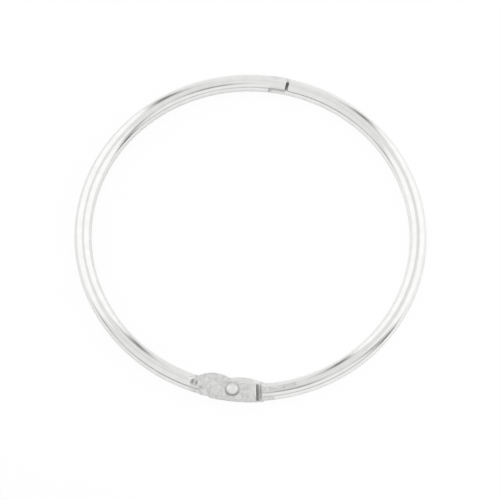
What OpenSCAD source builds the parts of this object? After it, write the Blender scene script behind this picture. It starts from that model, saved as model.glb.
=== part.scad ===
// Hinged loose-leaf ring of round wire, closed and lying flat, in millimetres.
// Two half rings overlap at a riveted hinge on the -Y side, and hook together
// in a stepped lap near +Y. The origin is under the ring's centre, +Z is up.
//
// Along the hinge, s is the distance along the wire's centre line from the
// rivet, positive towards +X, and q is the distance from that centre line
// towards the ring's middle. Heights are measured from the ring's mid-plane.

/* [Ring] */
// Outside diameter of the closed ring
ring_od = 76.2; // [70:0.1:82]
// Diameter of the round wire
wire_d = 3.7; // [3.6:0.05:3.9]

/* [Hinge leaves] */
// Height of a leaf's flat outer face from the mid-plane
leaf_face = 1.5; // [1.4:0.02:1.6]
// Gap between the two leaves
leaf_gap = 0.08; // [0.06:0.01:0.12]
// Reach of a leaf past the rivet, to its square end
leaf_end = 5.05; // [4.8:0.05:5.2]
// How far a leaf's outer edge stands proud of the wire
leaf_proud = 0.05; // [0.03:0.01:0.1]
// Reach of a leaf's straight inner edge, beside the rivet
leaf_in = 1.65; // [1.5:0.05:1.7]
// Distance from the rivet to the shoulder where the whole wire begins
shoulder = 6.15; // [6.1:0.05:6.4]
// Radius of the hollow corner at the shoulder's foot
shoulder_r = 0.35; // [0.2:0.05:0.4]
// Radius of the shoulder's rounded edge
shoulder_edge = 0.7; // [0.4:0.05:0.8]
// Distance from the rivet to the foot of the ramp up to the wire's crest
ramp_foot = 8.1; // [8:0.1:8.3]
// Length of that ramp
ramp_run = 1; // [0.8:0.1:1.3]

/* [Ears] */
// Reach of the upper leaf's ear towards the ring's middle
upper_ear = 3.2; // [2.9:0.05:3.3]
// Distance of the upper ear's peak from the rivet
upper_peak = 3.7; // [3.5:0.1:3.9]
// Radius of the upper ear's outline on the wire's side
upper_ear_r = 6.1; // [6:0.1:6.6]
// Reach of the lower leaf's ear towards the ring's middle
lower_ear = 3.4; // [3.1:0.05:3.5]
// Distance of the lower ear's peak from the rivet
lower_peak = 2; // [1.8:0.1:2.4]
// Radius of the lower ear's outline on the wire's side
lower_ear_r = 9.6; // [9:0.1:10]

/* [Rivet] */
// Diameter of the rivet's shank
shank_d = 2; // [1.8:0.05:2.1]
// Diameter of the rivet's heads
head_d = 2.9; // [2.7:0.05:3]
// Height of the upper head's dome above the leaf
head_h = 0.33; // [0.28:0.01:0.33]
// Radial clearance in the upper leaf's hole
hole_tight = 0.02; // [0.01:0.01:0.03]
// Radial clearance in the lower leaf's hole, which turns
hole_free = 0.05; // [0.03:0.01:0.08]
// Running gap under the lower head
head_gap = 0.03; // [0.02:0.01:0.05]

/* [Closure] */
// Distance of the upper tongue's tip from the +Y axis, towards +X
upper_tip = 3.9; // [3.8:0.05:4.1]
// Slit left open at the upper tongue's tip
upper_slit = 0.65; // [0.5:0.05:0.9]
// Distance of the lower tongue's tip from the +Y axis, towards +X
lower_tip = 0.6; // [0.5:0.05:0.8]
// Slit left open at the lower tongue's tip
lower_slit = 0.22; // [0.2:0.02:0.4]
// Distance of the hook's face from the +Y axis, towards +X
hook_face = 2.86; // [2.7:0.02:3]
// Height of the upper tongue's underside behind its hook
hook_top = 0.91; // [0.8:0.01:1]
// Depth of the hook's foot below the mid-plane
hook_foot = 0.44; // [0.3:0.01:0.6]
// Reach of the hook's tooth from the wire's centre line, outwards
tooth_out = 0.45; // [0.3:0.05:0.6]
// Reach of the hook's tooth from the wire's centre line, towards the ring's middle
tooth_in = 1.15; // [1:0.05:1.2]
// Gap between the two hooks
lap_gap = 0.16; // [0.1:0.02:0.2]

/* [Hidden] */
$fn = 96;

ring_r = (ring_od - wire_d) / 2;
wire_r = wire_d / 2;
leaf_out = wire_r + leaf_proud;
nickel = [0.80, 0.79, 0.77];
rivet_nickel = [0.84, 0.83, 0.81];

// The outline of a leaf starts inside the wire, where the ramp is half way up
leaf_root = ramp_foot + ramp_run / 2;
// Each ear: its reach, its peak, its radius, and the length over which it falls
upper = [upper_ear, upper_peak, upper_ear_r, 6.8];
lower = [lower_ear, lower_peak, lower_ear_r, 9];
// The outer edge flares from the wire to its full reach over this length
flare_end = 6;
flare_from = 0.7;

function deg(s) = s / ring_r * 180 / PI;
function ease(t) = (1 - cos(180 * min(1, max(0, t)))) / 2;
function hinge_pt(s, q) = (ring_r - q) * [sin(deg(s)), -cos(deg(s))];
function inner_edge(s, ear) = s < -ear[1]
    ? ear[0] - ear[2] + sqrt(ear[2] * ear[2] - pow(s + ear[1], 2))
    : ear[0] + (leaf_in - ear[0]) * ease((s + ear[1]) / ear[3]);
function outer_edge(s) = s < -flare_end
    ? leaf_out - (leaf_out - flare_from) * ease((-flare_end - s) / (leaf_root - flare_end))
    : leaf_out + 1.5 * (s + flare_end) / (leaf_end + flare_end);

// A straight cut: an outline in length and height, pressed across the wire
module press(outline, from = -8, to = 8) translate([0, -from, 0]) rotate([90, 0, 0]) linear_extrude(to - from) polygon(outline);
// Places a thing on the wire at distance s from the rivet
module at_hinge(s) rotate([0, 0, deg(s)]) translate([0, -ring_r, 0]) children();
// Places a thing on the wire at the hook's face
module at_hook() rotate([0, 0, -deg(hook_face)]) translate([0, ring_r, 0]) children();
// Turns a thing over about the diameter through the rivet
module turned() rotate([0, 180, 0]) children();
module lifted() translate([0, 0, wire_r]) children();

// The round wire between two angles
module wire(a0, a1) rotate([0, 0, a0]) rotate_extrude(angle = a1 - a0, $fn = 240) translate([ring_r, 0]) circle(r = wire_r);

// The plan of a leaf, drawn wide on its outer side, where the rim trims it
module leaf_plan(ear) polygon(concat(
    [for (i = [0:30]) let (s = -leaf_root + i * (leaf_root + leaf_end) / 30) hinge_pt(s, inner_edge(s, ear))],
    [for (i = [30:-1:0]) let (s = -leaf_root + i * (leaf_root + leaf_end) / 30) hinge_pt(s, -outer_edge(s))]
));

// The leaf's rim: square below, with its upper outer corner rounded off
module leaf_rim() rotate([0, 0, -90 - deg(leaf_root + 1)]) rotate_extrude(angle = deg(leaf_root + leaf_end + 2), $fn = 240) polygon(concat(
    [[ring_r - 5, leaf_face + 0.4], [ring_r - 5, -0.6], [ring_r + leaf_out, -0.6]],
    [for (i = [0:6]) let (t = 15 * i) [ring_r + leaf_out - 0.7 + 0.7 * cos(t), leaf_face - 0.5 + 0.62 * sin(t)]]
));

module leaf_blank(ear) intersection() {
    leaf_rim();
    translate([0, 0, -0.5]) linear_extrude(leaf_face + 0.8) leaf_plan(ear);
}

// What is pressed away under a leaf, up to the shoulder with its round edge and hollow corner
module under_leaf() at_hinge(-shoulder) press(concat(
    [[-shoulder_edge, -6]],
    [for (i = [6:-1:0]) let (t = 15 * i) [-shoulder_edge * (1 - cos(t)), -wire_r + shoulder_edge * (1 - sin(t))]],
    [for (i = [0:6]) let (t = 15 * i) [shoulder_r * (1 - cos(t)), leaf_gap / 2 - shoulder_r * (1 - sin(t))]],
    [[18, leaf_gap / 2], [18, -6]]
));

// What is pressed away above a leaf, up the ramp to the wire's crest
module over_leaf() at_hinge(-ramp_foot) press([
    [-1.5 * ramp_run, leaf_face + 1.5 * (wire_r - leaf_face)], [0, leaf_face], [18, leaf_face], [18, 6], [-1.5 * ramp_run, 6]
]);

// What is cut from below the upper tongue, leaving a hook with a tooth narrower than the wire
module under_tongue() let (foot = lap_gap / 2 - hook_foot, top = lap_gap / 2 + hook_top) at_hook() {
    press([[lower_tip - lower_slit - hook_face, -6], [lower_tip - lower_slit - hook_face, top], [lap_gap / 2, top], [lap_gap / 2, foot], [8, foot], [8, -6]]);
    press([[0, -6], [0, top], [8, top], [8, -6]], -8, -tooth_out);
    press([[0, -6], [0, top], [8, top], [8, -6]], tooth_in, 8);
}

// What is cut from above the lower tongue, with a pocket for the tooth
module over_tongue() let (foot = -lap_gap / 2 - hook_foot, top = hook_top - lap_gap / 2, back = upper_tip + upper_slit - hook_face) at_hook() {
    press([[back, 6], [back, top], [-8, top], [-8, 6]]);
    press([[back, 6], [back, foot], [-lap_gap / 2, foot], [-lap_gap / 2, 6]], -tooth_out - lap_gap, tooth_in + lap_gap);
}

module front_half() color(nickel) lifted() difference() {
    union() {
        wire(90 - deg(upper_tip), 270 - deg(shoulder - 1.4));
        leaf_blank(upper);
    }
    under_leaf();
    over_leaf();
    under_tongue();
    translate([0, -ring_r, -3]) cylinder(r = shank_d / 2 + hole_tight, h = 6);
}

module rear_half() color(nickel) lifted() difference() {
    union() {
        wire(-90 + deg(shoulder - 1.4), 90 - deg(lower_tip));
        turned() leaf_blank(lower);
    }
    turned() under_leaf();
    turned() over_leaf();
    over_tongue();
    translate([0, -ring_r, -3]) cylinder(r = shank_d / 2 + hole_free, h = 6);
}

// A low domed head with a short upright rim, standing on z = 0
module dome(h) let (cap = 0.7 * h, ball = (head_d * head_d / 4 + cap * cap) / (2 * cap)) intersection() {
    cylinder(d = head_d, h = 2 * h);
    translate([0, 0, h - ball]) sphere(r = ball, $fn = 240);
}

module hinge_rivet() color(rivet_nickel) lifted() translate([0, -ring_r, 0]) {
    translate([0, 0, -leaf_face - head_gap - 0.05]) cylinder(d = shank_d, h = 2 * leaf_face + head_gap + 0.1);
    translate([0, 0, leaf_face]) dome(head_h);
    translate([0, 0, -leaf_face - head_gap]) turned() dome(head_h - head_gap);
}

front_half();
rear_half();
hinge_rivet();
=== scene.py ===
import math

import bmesh
import bpy
import numpy as np
from mathutils import Matrix, Quaternion, Vector


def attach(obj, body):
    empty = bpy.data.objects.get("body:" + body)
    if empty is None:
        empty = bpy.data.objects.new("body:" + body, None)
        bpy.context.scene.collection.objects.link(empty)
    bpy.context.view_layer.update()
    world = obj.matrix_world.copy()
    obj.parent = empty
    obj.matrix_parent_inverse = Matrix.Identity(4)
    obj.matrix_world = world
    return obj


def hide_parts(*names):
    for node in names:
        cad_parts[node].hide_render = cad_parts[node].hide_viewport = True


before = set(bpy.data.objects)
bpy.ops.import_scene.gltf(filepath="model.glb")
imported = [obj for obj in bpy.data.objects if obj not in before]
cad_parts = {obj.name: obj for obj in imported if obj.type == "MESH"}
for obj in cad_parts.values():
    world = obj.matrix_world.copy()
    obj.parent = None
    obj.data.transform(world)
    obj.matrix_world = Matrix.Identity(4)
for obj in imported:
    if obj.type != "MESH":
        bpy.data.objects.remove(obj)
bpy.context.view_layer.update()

scene = bpy.context.scene
MM = 0.001

# ---------------------------------------------------------------- dimensions
# All in millimetres, the same numbers as the CAD source. Along a half ring, a is
# the distance along the wire's centre line from the rivet, positive on that
# half's own wire; q is the distance from the centre line towards the ring's
# middle; z is the height above the ring's mid-plane, on the leaf's side.
R, WIRE = 36.25, 1.85
LEAF_FACE, LEAF_LOW, LEAF_END, LEAF_OUT, LEAF_IN = 1.5, 0.04, 5.05, 1.9, 1.65
SHOULDER, SHOULDER_R, SHOULDER_EDGE, RAMP_FOOT, RAMP_RUN = 6.15, 0.35, 0.7, 8.1, 1.0
SHANK, HEAD, HEAD_H, HEAD_GAP = 1.0, 1.45, 0.33, 0.03
HALF = math.pi * R

FRONT = dict(ear=(3.2, 3.7, 6.1, 6.8), sign=1, hole=SHANK + 0.02,
             corner=0.25, bulge=0.2, lap=HALF + 0.38, z1=0.93, z2=-0.36, l1=2.56, l2=3.52, lip=0.93, lap_z=1.4, wide=(-0.45, 1.15))
REAR = dict(ear=(3.4, 2.0, 9.6, 9.0), sign=-1, hole=SHANK + 0.05,
            corner=0.9, bulge=0.0, lap=HALF - 4.55, z1=0.52, z2=-0.89, l1=1.77, l2=3.95, lip=-0.89, lap_z=0.75, wide=(-0.61, 1.31))


# ---------------------------------------------------------------- solid shape
def ease(t):
    return (1 - np.cos(np.pi * np.clip(t, 0, 1))) / 2


def meet(a, b, r):
    """Both at once, with the edge between them rounded to radius r."""
    return np.minimum(-r, np.maximum(a, b)) + np.hypot(np.maximum(r + a, 0), np.maximum(r + b, 0))


def join(a, b, r):
    """Either one, with the hollow corner between them filled to radius r."""
    return np.maximum(r, np.minimum(a, b)) - np.hypot(np.maximum(r - a, 0), np.maximum(r - b, 0))


def inner_edge(s, ear):
    reach, peak, rad, fall = ear
    wire_side = reach - rad + np.sqrt(np.maximum(rad * rad - (s + peak) ** 2, 0.01))
    return np.where(s < -peak, wire_side, reach + (LEAF_IN - reach) * ease((s + peak) / fall))


def outer_edge(s, corner):
    """Reach of a leaf's outer edge, with the end corner rounded to that radius."""
    c = np.clip((s - LEAF_END + corner) / corner, 0, 0.999)
    return LEAF_OUT - 1.2 * ease((-6 - s) / 2.6) - corner * (1 - np.sqrt(1 - c * c))


def dent(s, q, s0, q0, ls, lq, turn, power=2):
    """1 in a small mark of that half length and half width, 0 outside it."""
    c, n = math.cos(turn), math.sin(turn)
    u, v = (s - s0) * c + (q - q0) * n, -(s - s0) * n + (q - q0) * c
    return np.exp(-np.abs(u / ls) ** power - np.abs(v / lq) ** power)


def tool_marks(h, s, q):
    if h["sign"] < 0:
        return 0 * s
    return dent(s, q, -8.62, -0.25, 0.36, 0.60, 0.1, 4) + 0.85 * dent(s, q, -7.72, -0.25, 0.34, 0.55, 0.1, 4) + 0.5 * dent(s, q, -6.7, -0.85, 0.5, 0.28, -0.6)


def nick(h, b, q, z):
    """A nick on the outer shoulder of the upper tongue."""
    return dent(b, q, 1.05, -1.05, 0.85, 0.42, 0.0) * ease(z / 0.3) if h["sign"] > 0 else 0 * b


def under(s, z):
    """Below zero outside what is pressed away under a leaf, up to the shoulder."""
    return join(meet(s + SHOULDER, -z - WIRE, SHOULDER_EDGE), LEAF_LOW - z, SHOULDER_R)


def solid(h, a, q, z):
    """Below zero inside the half ring h, before its pocket and rivet hole are cut."""
    s = -a
    wire = np.hypot(q, z) - WIRE
    # pressed leaf, flat on its outer face, with rounded edges
    e = inner_edge(s, h["ear"])
    slope = (inner_edge(s + 0.01, h["ear"]) - e) / 0.01
    # the pressing spread the upper leaf's root a little outwards
    bulge = h["bulge"] * np.exp(-((s + 5.8) / 0.8) ** 2)
    side = meet((q - e) / np.sqrt(1 + np.minimum(slope * slope, 9)), -q - outer_edge(s, h["corner"]) - bulge, 0.2)
    low = LEAF_FACE - 0.035
    top = low + (WIRE + 0.05 - low) * ease((-RAMP_FOOT + 0.05 - s) / (RAMP_RUN + 0.25)) + 0.6 * ease((-9.0 - s) / 1.6)
    # tool marks near the ramp, and the ring that the rivet's tool pressed round the head
    top = top - 0.06 * tool_marks(h, s, q)
    ring = np.hypot((R - q) * np.sin(s / R), R - (R - q) * np.cos(s / R))
    top = top - 0.05 * np.exp(-((ring - 1.52) / 0.12) ** 4)
    # slow unevenness of a pressed face
    top = top + 0.008 * np.sin(1.9 * s + 1.1 * q + 0.7) * np.sin(1.3 * q - 0.9 * s + 0.4) * ease((s + 9.0) / 1.0)
    face = z - top
    leaf = meet(side, face, np.where(q > 0, 0.42, 0.6))
    leaf = meet(leaf, -0.55 - z, 0.3)
    body = join(meet(wire, face, 0.25), leaf, 0.12)
    body = np.maximum(np.maximum(body, -q - LEAF_OUT - bulge), np.abs(z) - WIRE)
    body = np.where(a > 14, wire, body)
    # pressed away under the leaf up to the shoulder
    body = meet(body, under(s, z), 0.08)
    body = meet(body, s - LEAF_END, 0.2)
    # stepped tongue: the upper one with its tooth, the lower one up to the pocket's rim
    b = a - h["lap"]
    if h["sign"] > 0:
        tooth = meet(meet(h["z2"] - z, h["l1"] - b, 0.08), np.maximum(q - h["wide"][1], h["wide"][0] - q), 0.08)
        tongue = join(join(b, h["z1"] - z, 0.1), tooth, 0.08)
    else:
        tongue = join(b, h["z2"] - z, 0.1)
    body = np.where(a > 60, meet(meet(body + 0.08 * nick(h, b, q, z), tongue, 0.06), b - h["l2"], 0.16), body)
    return body


def centre(h, a):
    """A point of each cross-section that all of its outline can be seen from."""
    at_leaf = 1 - ease((a - SHOULDER) / 5.5)
    at_lap = ease((a - h["lap"] + 7) / 6)
    return 0.45 * at_leaf, 0.77 * at_leaf + h["lap_z"] * at_lap


def outline(h, a, phi):
    """Distance from each section's centre to the surface along the angles phi."""
    cq, cz = centre(h, a[:, None])
    dq, dz = np.cos(phi), np.sin(phi)
    aa = np.broadcast_to(a[:, None], phi.shape)
    lo, hi = np.zeros(phi.shape), np.full(phi.shape, 5.5)
    for _ in range(34):
        mid = (lo + hi) / 2
        out = solid(h, aa, cq + mid * dq, cz + mid * dz) > 1e-6
        hi = np.where(out, mid, hi)
        lo = np.where(out, lo, mid)
    t = (lo + hi) / 2
    return cq + t * dq, cz + t * dz


def stations(h):
    p, q = h["lap"], h["lap"]
    runs = [(-LEAF_END + 5e-4, -LEAF_END + 0.14, 0.012), (-LEAF_END + 0.14, -LEAF_END + 0.24, 0.02),
            (-LEAF_END + 0.24, -1.8, 0.14), (-1.8, 1.8, 0.05), (1.8, 5.7, 0.14), (5.7, 7.0, 0.035),
            (7.0, 8.0, 0.08), (8.0, 9.6, 0.06), (9.6, 14, 0.25), (14, p - 2, 0.8), (p - 2, p - 0.2, 0.15),
            (p - 0.2, p + 0.2, 0.016), (p + 0.2, p + h["l1"] - 0.2, 0.12),
            (p + h["l1"] - 0.2, p + h["l1"] + 0.2, 0.016 if h["sign"] > 0 else 0.1), (p + h["l1"] + 0.2, p + h["l2"] - 0.16, 0.1),
            (p + h["l2"] - 0.16, p + h["l2"] - 5e-4, 0.012)]
    made = []
    for x0, x1, step in runs:
        n = max(1, round((x1 - x0) / step))
        made += list(x0 + (x1 - x0) * np.arange(n) / n)
    return np.array(made + [runs[-1][1]])


AROUND = 192


def spread(q, z):
    """Angles' shares that put points evenly by length and by turn along each quarter."""
    m = q.shape[1]
    dq, dz = np.roll(q, -1, 1) - q, np.roll(z, -1, 1) - z
    length = np.hypot(dq, dz)
    head = np.arctan2(dz, dq)
    turn = np.abs((np.roll(head, -1, 1) - head + np.pi) % (2 * np.pi) - np.pi)
    turn = (turn + np.roll(turn, 1, 1)) / 2
    per = AROUND // 4
    rows = []
    for i in range(q.shape[0]):
        got = []
        for k in range(4):
            seg = slice(k * m // 4, (k + 1) * m // 4)
            w = 0.5 * length[i, seg] / max(length[i, seg].sum(), 1e-9) + 0.5 * turn[i, seg] / max(turn[i, seg].sum(), 1e-9)
            c = np.concatenate([[0], np.cumsum(w)])
            got.append((k + np.interp(np.arange(per) / per * c[-1], c, np.arange(len(c)) / (len(c) - 1))) * (np.pi / 2))
        rows.append(np.concatenate(got))
    return np.array(rows)


def place(h, a, q, z):
    x, y = -(R - q) * np.sin(a / R), -(R - q) * np.cos(a / R)
    return np.stack([h["sign"] * x, y, h["sign"] * z + WIRE], -1) * MM


def unplace(h, co):
    x, y, z = co[:, 0] / MM * h["sign"], co[:, 1] / MM, (co[:, 2] / MM - WIRE) * h["sign"]
    a = np.arctan2(-x, -y)
    a = np.where(a < -1.2, a + 2 * np.pi, a) * R
    return a, R - np.hypot(x, y), z


def slopes(h, a, q, z):
    d = 0.004
    ga = (solid(h, a + d, q, z) - solid(h, a - d, q, z)) * R / (R - q)
    gq = solid(h, a, q + d, z) - solid(h, a, q - d, z)
    gz = solid(h, a, q, z + d) - solid(h, a, q, z - d)
    g = np.stack([ga, gq, gz], -1)
    return g / np.maximum(np.linalg.norm(g, axis=-1, keepdims=True), 1e-12)


def to_world(h, a, g):
    sa, ca = np.sin(a / R), np.cos(a / R)
    x = g[:, 0] * -ca + g[:, 1] * sa
    y = g[:, 0] * sa + g[:, 1] * ca
    return np.stack([h["sign"] * x, y, h["sign"] * g[:, 2]], -1)


def new_object(name, verts, faces):
    mesh = bpy.data.meshes.new(name)
    mesh.from_pydata(verts, [], faces)
    mesh.validate()
    obj = bpy.data.objects.new(name, mesh)
    scene.collection.objects.link(obj)
    return obj


def lathe(name, profile, around, centre_xy):
    """A turned piece: profile is radius and height, from the axis to the axis."""
    verts, faces, rows = [], [], []
    for r, z in profile:
        if r < 1e-9:
            rows.append([len(verts)])
            verts.append((centre_xy[0], centre_xy[1], z))
        else:
            rows.append(list(range(len(verts), len(verts) + around)))
            for k in range(around):
                t = 2 * math.pi * k / around
                verts.append((centre_xy[0] + r * math.cos(t), centre_xy[1] + r * math.sin(t), z))
    for lo, hi in zip(rows, rows[1:]):
        for k in range(around):
            j = (k + 1) % around
            if len(lo) == 1:
                faces.append((lo[0], hi[j], hi[k]))
            elif len(hi) == 1:
                faces.append((lo[k], lo[j], hi[0]))
            else:
                faces.append((lo[k], lo[j], hi[j], hi[k]))
    return new_object(name, verts, faces)


def pocket(name, h):
    """The tooth's pocket in the lower tongue, a block with round corners, bent with the wire."""
    (q0, q1), r, n = h["wide"], 0.18, 6
    plan = []
    for cb, cq, t0 in ((h["l1"] - r, q1 - r, 0), (r + 0.02, q1 - r, 90), (r + 0.02, q0 + r, 180), (h["l1"] - r, q0 + r, 270)):
        for i in range(n + 1):
            t = math.radians(t0 + 90 * i / n)
            plan.append((h["lap"] + cb + r * math.cos(t), cq + r * math.sin(t)))
    plan = np.array(plan)
    m = len(plan)
    rows = []
    # from its floor, with a hollow corner, up through the tongue's open side
    mid = plan.mean(0)
    for inset, z in ((0.12, h["z1"]), (0.05, h["z1"] - 0.03), (0.015, h["z1"] - 0.08), (0, h["z1"] - 0.14), (0, -3.0)):
        to_mid = mid - plan
        ring = plan + to_mid / np.linalg.norm(to_mid, axis=1, keepdims=True) * inset
        rows.append(place(h, ring[:, 0], ring[:, 1], np.full(m, z)))
    faces = [tuple(range(m))[::-1], tuple(range(4 * m, 5 * m))]
    for k in range(4):
        faces += [(k * m + i, k * m + (i + 1) % m, (k + 1) * m + (i + 1) % m, (k + 1) * m + i) for i in range(m)]
    obj = new_object(name, np.concatenate(rows).tolist(), faces)
    work = bmesh.new()
    work.from_mesh(obj.data)
    bmesh.ops.recalc_face_normals(work, faces=work.faces)
    work.to_mesh(obj.data)
    work.free()
    return obj


def half_ring(name, h):
    a = stations(h)
    phi = np.broadcast_to(2 * np.pi * np.arange(720) / 720, (len(a), 720))
    q, z = outline(h, a, phi)
    phi = spread(q, z)
    # even out the spacing from one section to the next
    for _ in range(2):
        phi[1:-1] = (phi[:-2] + 2 * phi[1:-1] + phi[2:]) / 4
    q, z = outline(h, a, phi)
    n, m = q.shape
    aa = np.broadcast_to(a[:, None], q.shape)
    verts = [place(h, aa.ravel(), q.ravel(), z.ravel())]
    faces = []
    idx = np.arange(n * m).reshape(n, m)
    nxt = np.roll(idx, -1, 1)
    faces += np.stack([idx[:-1], nxt[:-1], nxt[1:], idx[1:]], -1).reshape(-1, 4).tolist()
    # end faces in rings that close on a middle point
    count = n * m
    for row, end, flip in ((0, -LEAF_END, True), (n - 1, h["lap"] + h["l2"], False)):
        cq, cz = q[row].mean(), z[row].mean()
        last = idx[row]
        for share in (0.75, 0.45, 0.18):
            ring = np.arange(count, count + m)
            verts.append(place(h, np.full(m, end), cq + (q[row] - cq) * share, cz + (z[row] - cz) * share))
            quad = np.stack([last, np.roll(last, -1), np.roll(ring, -1), ring], -1)
            faces += (quad[:, ::-1] if flip else quad).tolist()
            last, count = ring, count + m
        verts.append(place(h, np.array([end]), np.array([cq]), np.array([cz])))
        tri = np.stack([last, np.roll(last, -1), np.full(m, count)], -1)
        faces += (tri[:, ::-1] if flip else tri).tolist()
        count += 1
    verts = np.concatenate(verts)
    # outward side
    f = np.array(faces[:m * (n - 1)])
    p0, p1, p3 = verts[f[:, 0]], verts[f[:, 1]], verts[f[:, 3]]
    fn = np.cross(p1 - p0, p3 - p0)
    fa, fq, fz = unplace(h, p0)
    want = to_world(h, fa, slopes(h, fa, fq, fz))
    if (fn * want).sum() < 0:
        faces = [t[::-1] for t in faces]
    obj = new_object(name, verts.tolist(), faces)
    # hole for the rivet, under its heads
    cutters = [lathe(name + "_drill", [(0, -0.004), (h["hole"] * MM, -0.004), (h["hole"] * MM, 0.008), (0, 0.008)], 96, (0, -R * MM))]
    if h["sign"] < 0:
        cutters.append(pocket(name + "_pocket", h))
    for cutter in cutters:
        cut = obj.modifiers.new(cutter.name, "BOOLEAN")
        cut.operation, cut.solver, cut.object = "DIFFERENCE", "EXACT", cutter
    dg = bpy.context.evaluated_depsgraph_get()
    made = bpy.data.meshes.new_from_object(obj.evaluated_get(dg))
    obj.modifiers.clear()
    old, obj.data = obj.data, made
    bpy.data.meshes.remove(old)
    for cutter in cutters:
        bpy.data.objects.remove(cutter)
    # merge the slivers that the cutters leave
    work = bmesh.new()
    work.from_mesh(made)
    bmesh.ops.remove_doubles(work, verts=work.verts, dist=2e-7)
    bmesh.ops.dissolve_degenerate(work, edges=work.edges, dist=2e-7)
    bmesh.ops.triangulate(work, faces=[f for f in work.faces if len(f.verts) > 4])
    bmesh.ops.dissolve_degenerate(work, edges=work.edges, dist=2e-7)
    work.to_mesh(made)
    work.free()
    made.name = name
    made.materials.clear()
    finish_half(obj, h)
    return obj


def rivet_ring_shade(r, turn):
    """How dark the painted shade on the ring round the rivet's head is, less so on the side towards the ring's middle.
    """
    return (0.53 - 0.13 * np.sin(turn)) * np.exp(-((r - 1.36) / 0.24) ** 2) * (1 - 0.4 * np.exp(-((turn - np.pi / 2) / 0.5) ** 2))


def finish_half(obj, h):
    mesh = obj.data
    nv = len(mesh.vertices)
    co = np.empty(nv * 3)
    mesh.vertices.foreach_get("co", co)
    co = co.reshape(-1, 3)
    a, q, z = unplace(h, co)
    g = slopes(h, a, q, z)
    normal = to_world(h, a, g)
    # loop normals: from the shape, except inside the rivet's hole and the pocket
    nl = len(mesh.loops)
    vi = np.empty(nl, np.int32)
    mesh.loops.foreach_get("vertex_index", vi)
    ln = normal[vi]
    nf = len(mesh.polygons)
    fc, fn = np.empty(nf * 3), np.empty(nf * 3)
    mesh.polygons.foreach_get("center", fc)
    mesh.polygons.foreach_get("normal", fn)
    within = solid(h, *unplace(h, fc.reshape(-1, 3))) < -0.02
    for k in np.nonzero(within)[0]:
        ln[list(mesh.polygons[int(k)].loop_indices)] = fn.reshape(-1, 3)[k]
    mesh.shade_smooth()
    mesh.normals_split_custom_set(ln.tolist())
    # coordinates along the straightened wire, where the surface was pressed (its top values mark the shoulder's painted
    # highlight), and painted shade where the surface lies hidden
    def attribute(name, kind, values):
        at = mesh.attributes.new(name, kind, "POINT")
        at.data.foreach_set("vector" if kind == "FLOAT_VECTOR" else "value", np.asarray(values, np.float32).ravel())
    attribute("unbent", "FLOAT_VECTOR", np.stack([a, q, z], -1))
    s = -a
    pressed = 0.85 * ease((s + 9.2) / 0.9) * ease((g[:, 2] + 0.9) / 0.4) * (1 - 0.4 * ease((s - 3.2) / 1.3))
    on_cut = ease((0.10 - np.abs(under(s, z))) / 0.06)
    # the shoulder's mask, for its satin roughness and a painted highlight at its foot
    shoulder_satin_and_highlight = on_cut * ease((a - 4.0) / 0.5) * (1 - 0.07 * ease((a - 6.2) / 0.15))
    attribute("pressed", "FLOAT", np.where(a < 14, np.maximum(pressed, shoulder_satin_and_highlight), 0))
    # painted shade in hidden corners: the gap past the other leaf's end, the ring round the rivet, the lap; the tool
    # marks are darker too
    gap_shade = on_cut * ease((a - 4.95) / 0.25) * 0.74 * ease((6.2 - a) / 0.85) * ease((2.1 - q) / 0.5)
    ring = np.hypot(co[:, 0], co[:, 1] + R * MM) / MM
    # painted shade round the rivet's head, darker on the side away from the ring's middle
    ring_shade = rivet_ring_shade(ring, np.arctan2(co[:, 1] + R * MM, co[:, 0])) * (z > 1.0)
    marks = 0.72 * tool_marks(h, s, q) * (z > 1.0)
    b = a - h["lap"]
    depth = WIRE - np.hypot(q, z)
    # painted shade: the open slit is dark only well inside; the closed lap is dark up to its lips
    slit_shade = 0.5 * ease((depth - 0.2) / 0.6) * (b > -0.15)
    lips_shade = 0.35 * ease((depth - 0.02) / 0.15)
    # painted shade: a dark line along the lap at the lip's height
    line = 0.34 * np.exp(-((z - h["lip"]) / 0.4) ** 2)
    if h["sign"] > 0:
        inside = ease((b + 0.15) / 0.1) * ease((h["l2"] - 0.25 - b) / 0.2)
        line = line * ease((b + 0.1) / 0.2)
        mouth_shade = 0.8 * np.exp(-(b / 0.2) ** 2) * ease((1.05 - z) / 0.1)
    else:
        inside = ease((b - 0.55) / 0.2)
        line = line * ease((b - 0.4) / 0.3)
        mouth_shade = 0.8 * np.exp(-((b - h["l2"]) / 0.2) ** 2) * ease((z + 0.95) / 0.1)
    # the lap's mask: all painted shade in the slit, lips, line and mouth; the nick is darker too
    lap = np.maximum(np.maximum(slit_shade, lips_shade * inside), np.maximum(np.maximum(line, mouth_shade), 0.22 * nick(h, b, q, z)))
    attribute("painted_shade_and_marks", "FLOAT", np.where(a < 14, np.maximum(np.maximum(gap_shade, ring_shade), marks), lap))
    uv = mesh.uv_layers.new(name="wire") if not mesh.uv_layers else mesh.uv_layers[0]
    uv.name = "wire"
    turn = np.arctan2(z, q) / (2 * np.pi)
    flat = np.stack([a[vi] / 130 + 0.05, turn[vi] + 0.5], -1)
    uv.data.foreach_set("uv", flat.astype(np.float32).ravel())


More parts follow.
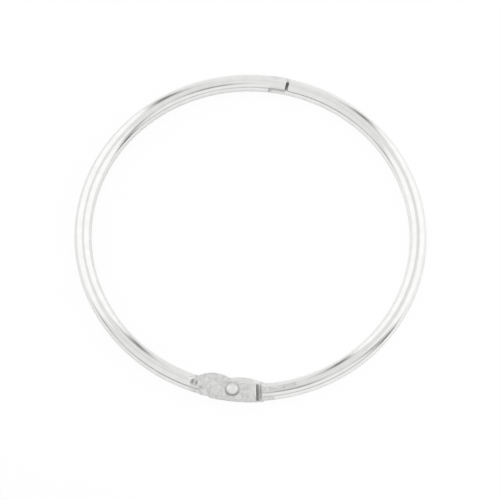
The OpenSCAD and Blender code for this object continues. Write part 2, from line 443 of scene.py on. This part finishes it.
# ---------------------------------------------------------------- node helpers
class Nodes:
    def __init__(self, tree):
        self.tree = tree
        tree.nodes.clear()

    def new(self, kind, **values):
        node = self.tree.nodes.new(kind)
        for k, v in values.items():
            setattr(node, k, v)
        return node

    def put(self, socket, value):
        if isinstance(value, bpy.types.NodeSocket):
            self.tree.links.new(value, socket)
        elif value is not None:
            socket.default_value = value

    def math(self, op, x, y=None, z=None, clamp=False):
        node = self.new("ShaderNodeMath", operation=op, use_clamp=clamp)
        for i, v in enumerate((x, y, z)):
            if v is not None:
                self.put(node.inputs[i], v)
        return node.outputs[0]

    def vec(self, op, x, y=None, out=0):
        node = self.new("ShaderNodeVectorMath", operation=op)
        self.put(node.inputs[0], x)
        if y is not None:
            self.put(node.inputs["Scale" if op == "SCALE" else 1], y)
        return node.outputs["Value" if op in ("DOT_PRODUCT", "LENGTH") else 0]

    def step(self, x, lo, hi, to_lo=0.0, to_hi=1.0):
        node = self.new("ShaderNodeMapRange", interpolation_type="SMOOTHSTEP", clamp=True)
        for name, v in (("Value", x), ("From Min", lo), ("From Max", hi), ("To Min", to_lo), ("To Max", to_hi)):
            self.put(node.inputs[name], v)
        return node.outputs[0]

    def mix(self, t, x, y):
        node = self.new("ShaderNodeMix", data_type="FLOAT")
        self.put(node.inputs[0], t)
        self.put(node.inputs[2], x)
        self.put(node.inputs[3], y)
        return node.outputs[0]

    def mix_colour(self, t, x, y):
        node = self.new("ShaderNodeMix", data_type="RGBA")
        self.put(node.inputs[0], t)
        self.put(node.inputs[6], x)
        self.put(node.inputs[7], y)
        return node.outputs[2]

    def noise(self, vector, scale, detail=2.0, rough=0.5):
        node = self.new("ShaderNodeTexNoise")
        self.put(node.inputs["Vector"], vector)
        self.put(node.inputs["Scale"], scale)
        self.put(node.inputs["Detail"], detail)
        self.put(node.inputs["Roughness"], rough)
        return node.outputs[0]

    def attribute(self, name, out):
        return self.new("ShaderNodeAttribute", attribute_name=name).outputs[out]


# ---------------------------------------------------------------- materials
def nickel(name, plain):
    mat = bpy.data.materials.new(name)
    mat.use_nodes = True
    t = Nodes(mat.node_tree)
    out = t.new("ShaderNodeOutputMaterial")
    bsdf = t.new("ShaderNodeBsdfPrincipled")
    t.put(out.inputs["Surface"], bsdf.outputs[0])
    bsdf.inputs["Metallic"].default_value = 1.0
    if plain:
        coords = t.vec("SCALE", t.new("ShaderNodeTexCoord").outputs["Object"], 1000.0)
    else:
        coords = t.attribute("unbent", "Vector")
        pressed = t.attribute("pressed", "Fac")
    painted_shade_and_marks = t.attribute("painted_shade_and_marks", "Fac")
    # lines left by drawing, long along the wire and fine across it
    stretch = t.vec("MULTIPLY", coords, (0.03, 1.0, 1.0))
    lines = t.noise(stretch, 7.0, 3.0, 0.6)
    fine = t.noise(coords, 9.0, 3.0, 0.6)
    broad = t.noise(coords, 0.5, 3.0, 0.55)
    blotch = t.noise(coords, 1.15, 4.0, 0.6)
    # colour: bright neutral plate with a faint drift, duller where pressed
    bright = t.mix_colour(t.step(broad, 0.35, 0.65), (0.805, 0.803, 0.797, 1), (0.84, 0.837, 0.831, 1))
    low, high = (0.16, 0.24) if plain else (0.06, 0.10)
    rough = t.mix(t.step(fine, 0.3, 0.7), low, high)
    rough = t.math("ADD", rough, t.mix(t.step(lines, 0.35, 0.7), 0.0, 0.03))
    colour = bright
    if not plain:
        dull = t.mix_colour(t.step(blotch, 0.28, 0.72), (0.565, 0.565, 0.562, 1), (0.80, 0.80, 0.795, 1))
        colour = t.mix_colour(pressed, colour, dull)
        rough = t.mix(pressed, rough, t.mix(t.step(blotch, 0.3, 0.7), 0.36, 0.27))
        # the shoulder is satin, with a painted highlight (a brighter base colour) at its foot
        colour = t.mix_colour(t.step(pressed, 0.945, 0.99), colour, (0.86, 0.859, 0.855, 1))
        rough = t.mix(t.step(pressed, 0.87, 0.92), rough, 0.6)
    # painted shade: hidden corners, the gap, the lap and the ring round the rivet turn dark grey; the tool marks are
    # darker too
    colour = t.mix_colour(painted_shade_and_marks, colour, (0.15, 0.149, 0.147, 1))
    rough = t.mix(painted_shade_and_marks, rough, 0.6)
    t.put(bsdf.inputs["Base Color"], colour)
    t.put(bsdf.inputs["Roughness"], rough)
    height = t.math("MULTIPLY", lines, 0.0011)
    if not plain:
        height = t.math("ADD", height, t.math("MULTIPLY", t.math("MULTIPLY", blotch, 0.011), pressed))
        height = t.math("ADD", height, t.math("MULTIPLY", t.math("MULTIPLY", fine, 0.0007), pressed))
    bump = t.new("ShaderNodeBump")
    bump.inputs["Strength"].default_value = 1.0
    bump.inputs["Distance"].default_value = 0.001
    t.put(bump.inputs["Height"], height)
    t.put(bsdf.inputs["Normal"], bump.outputs[0])
    return mat


wire_mat = nickel("plated_wire_finish", False)
rivet_mat = nickel("plated_rivet_finish", True)

# ---------------------------------------------------------------- pieces
for name, node, body, h in (("front_half_wire", "front_half", "front", FRONT), ("rear_half_wire", "rear_half", "rear", REAR)):
    piece = half_ring(name, h)
    piece.data.materials.append(wire_mat)
    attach(piece, body)
    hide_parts(node)


def rivet_profile():
    """Radius and height about the mid-plane: upper dome, shank, lower dome."""
    def head(h):
        flat, rim = 1.21, 0.08
        cap = 0.32 * h
        ball = (flat * flat + cap * cap) / (2 * cap)
        pts = []
        for i in range(25):
            r = flat * i / 24
            pts.append((r, h - ball + math.sqrt(ball * ball - r * r)))
        z0 = pts[-1][1]
        for i in range(1, 13):
            t = math.pi / 2 * i / 12
            pts.append((flat + (HEAD - flat) * math.sin(t), rim + (z0 - rim) * math.cos(t)))
        pts.append((HEAD, 0.03))
        pts.append((HEAD - 0.02, 0.0))
        return pts
    up = [(r, LEAF_FACE + z) for r, z in head(HEAD_H)]
    low = [(r, -LEAF_FACE - HEAD_GAP - z) for r, z in head(HEAD_H - HEAD_GAP)]
    shank = [(SHANK + 0.04, LEAF_FACE), (SHANK, LEAF_FACE - 0.04)]
    shank += [(SHANK, LEAF_FACE - 0.04 - (2 * LEAF_FACE + HEAD_GAP - 0.08) * i / 8) for i in range(1, 9)]
    shank += [(SHANK + 0.04, -LEAF_FACE - HEAD_GAP)]
    return [(r * MM, (z + WIRE) * MM) for r, z in up + shank + low[::-1]][::-1]


rivet = lathe("hinge_rivet_turned", rivet_profile(), 128, (0, -R * MM))
rivet.data.shade_smooth()
# painted shade on the ring round the rivet's head
shade = rivet.data.attributes.new("painted_shade_and_marks", "FLOAT", "POINT")
for vert in rivet.data.vertices:
    r = math.hypot(vert.co.x, vert.co.y + R * MM) / MM
    shade.data[vert.index].value = float(rivet_ring_shade(r, math.atan2(vert.co.y + R * MM, vert.co.x)))
rivet.data.set_sharp_from_angle(angle=math.radians(38))
rivet.data.materials.append(rivet_mat)
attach(rivet, "front")
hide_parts("hinge_rivet")

# ---------------------------------------------------------------- camera
AZ, EL, ROLL = math.radians(4.38), math.radians(67.62), math.radians(2.0)
back = Vector((math.sin(AZ) * math.cos(EL), -math.cos(AZ) * math.cos(EL), math.sin(EL)))
turn = (-back).to_track_quat("-Z", "Y") @ Quaternion((0, 0, 1), ROLL)
right, up = turn @ Vector((1, 0, 0)), turn @ Vector((0, 1, 0))
cam = bpy.data.objects.new("camera", bpy.data.cameras.new("camera"))
scene.collection.objects.link(cam)
cam.data.sensor_width, cam.data.lens = 36.0, 266.2
cam.data.clip_start, cam.data.clip_end = 0.01, 20.0
px = MM / 4.6223
aim = Vector((0, 0, WIRE * MM)) - right * (0.65 * px) - up * (14.92 * px)
cam.location = aim + back * 0.8
cam.rotation_mode = "QUATERNION"
cam.rotation_quaternion = turn
scene.camera = cam

# ---------------------------------------------------------------- studio
scene.view_settings.view_transform = "Standard"
scene.view_settings.look = "None"
scene.view_settings.exposure = 0.0
scene.view_settings.gamma = 1.0


def toward(az, el):
    az, el = math.radians(az), math.radians(el)
    return Vector((math.cos(az) * math.cos(el), math.sin(az) * math.cos(el), math.sin(el)))


world = bpy.data.worlds.new("studio")
scene.world = world
world.use_nodes = True
w = Nodes(world.node_tree)
spin = w.new("ShaderNodeVectorRotate", rotation_type="Z_AXIS")
w.put(spin.inputs["Vector"], w.new("ShaderNodeTexCoord").outputs["Generated"])
spin.inputs["Angle"].default_value = -AZ
ray = spin.outputs[0]
sep = w.new("ShaderNodeSeparateXYZ")
w.put(sep.inputs[0], ray)
elev = w.math("MULTIPLY", w.math("ARCSINE", sep.outputs[2]), 180 / math.pi)


def plane(p, q_):
    n = p.cross(q_).normalized()
    return w.math("MULTIPLY", w.math("ARCSINE", w.vec("DOT_PRODUCT", ray, tuple(n))), 180 / math.pi)


def spot(az, el, saz, sel):
    """1 at a direction, falling off by that many degrees sideways and up."""
    p = toward(az, el)
    side = toward(az + 90, 0)
    rise = p.cross(side)
    x = w.math("DIVIDE", w.vec("DOT_PRODUCT", ray, tuple(side)), math.sin(math.radians(saz)))
    y = w.math("DIVIDE", w.vec("DOT_PRODUCT", ray, tuple(rise)), math.sin(math.radians(sel)))
    d = w.math("ADD", w.math("MULTIPLY", x, x), w.math("MULTIPLY", y, y))
    g = w.math("EXPONENT", w.math("MULTIPLY", d, -1.0))
    return w.math("MULTIPLY", g, w.step(w.vec("DOT_PRODUCT", ray, tuple(p)), 0.0, 0.3))


def seam(foot, top, inward):
    """Degrees from a seam that runs from azimuth foot on the floor to azimuth top at 60 degrees up."""
    p, q_ = toward(foot, 0), toward(top, 60)
    return plane(p, q_) if p.cross(q_).dot(toward(inward, 30)) > 0 else plane(q_, p)


def darken(light, share):
    return w.math("MULTIPLY", light, w.math("SUBTRACT", 1.0, share))


dx, dy = sep.outputs[0], sep.outputs[1]
right_back, left_back = seam(62, 75.7, 20), seam(114.1, 99.5, 150)
right_front, left_front = seam(341.5, 337, 20), seam(195.6, 186.5, 150)
below = w.step(elev, 60, 66, 1, 0)
panel_r = w.math("MULTIPLY", w.step(right_back, -1, 1.5), w.step(right_front, -2, 2))
panel_l = w.math("MULTIPLY", w.step(left_back, -1, 1.5), w.step(left_front, -3, 3))
panels = w.math("MULTIPLY", w.math("MAXIMUM", panel_r, panel_l), below)
base = w.mix(w.step(dy, -0.35, 0.35), 0.97, 0.95)
base = w.math("ADD", base, w.math("MULTIPLY", dx, 0.06))
base = w.mix(w.step(elev, 55, 75), base, 0.93)
light = w.mix(panels, base, 1.175)
# each seam: its width in degrees, and how dark it is low, half way up and at the top
for line, side, wide, low, mid, top in (
        (right_back, dy, 3.2, 0.30, 0.74, 0.05),
        (left_back, dy, 2.9, 0.25, 0.80, 0.05),
        (right_front, dx, 7.0, 0.95, 0.52, 0.12),
        (left_front, w.math("MULTIPLY", dx, -1.0), 8.0, 0.55, 0.05, 0.12)):
    x = w.math("DIVIDE", line, wide)
    dark = w.math("EXPONENT", w.math("MULTIPLY", w.math("MULTIPLY", x, x), -1.0))
    depth = w.math("ADD", w.step(elev, 3, 22, low, mid), w.step(elev, 42, 66, 0, top - mid))
    light = darken(light, w.math("MULTIPLY", w.math("MULTIPLY", dark, depth), w.step(side, 0, 0.2)))
# the dim gap above the camera, and the dim foot of the tent's front
for place_, share in ((spot(298.5, 58, 11, 9), 0.7), (spot(237, 3.2, 40, 8.5), 0.66), (spot(317, 3.2, 40, 8.5), 0.44)):
    light = darken(light, w.math("MULTIPLY", place_, share))
bg = w.new("ShaderNodeBackground")
bg.inputs["Color"].default_value = (1, 1, 1, 1)
w.put(bg.inputs["Strength"], light)
plain = w.new("ShaderNodeBackground")
plain.inputs["Strength"].default_value = 1.0
plain.inputs["Color"].default_value = (1, 1, 1, 1)
pick = w.new("ShaderNodeMixShader")
w.put(pick.inputs[0], w.new("ShaderNodeLightPath").outputs["Is Camera Ray"])
w.put(pick.inputs[1], bg.outputs[0])
w.put(pick.inputs[2], plain.outputs[0])
wo = w.new("ShaderNodeOutputWorld")
w.put(wo.inputs["Surface"], pick.outputs[0])

# pale floor
side = 2.0
floor = new_object("floor", [(-side, -side, 0), (side, -side, 0), (side, side, 0), (-side, side, 0)], [(0, 1, 2, 3)])
fm = bpy.data.materials.new("pale_floor")
fm.use_nodes = True
f = Nodes(fm.node_tree)
fo = f.new("ShaderNodeOutputMaterial")
fd = f.new("ShaderNodeBsdfDiffuse")
fe = f.new("ShaderNodeEmission")
fe.inputs["Strength"].default_value = 1.0
# lit a little from below, more towards +X, and dimmer some way in front of the ring
fx = f.new("ShaderNodeSeparateXYZ")
f.put(fx.inputs[0], f.new("ShaderNodeTexCoord").outputs["Object"])
glow = f.new("ShaderNodeEmission")
near = f.step(fx.outputs[1], -0.085, -0.05)
f.put(glow.inputs["Strength"], f.math("MULTIPLY", near, f.step(fx.outputs[0], -0.05, 0.05, 0.075, 0.16)))
f.put(fd.inputs["Color"], f.mix_colour(near, (0.74, 0.74, 0.74, 1), (0.92, 0.92, 0.92, 1)))
lit = f.new("ShaderNodeAddShader")
f.put(lit.inputs[0], fd.outputs[0])
f.put(lit.inputs[1], glow.outputs[0])
fmix = f.new("ShaderNodeMixShader")
seen = f.math("MULTIPLY", f.new("ShaderNodeLightPath").outputs["Is Camera Ray"], 0.93)
f.put(fmix.inputs[0], seen)
f.put(fmix.inputs[1], lit.outputs[0])
f.put(fmix.inputs[2], fe.outputs[0])
f.put(fo.inputs["Surface"], fmix.outputs[0])
floor.data.materials.append(fm)
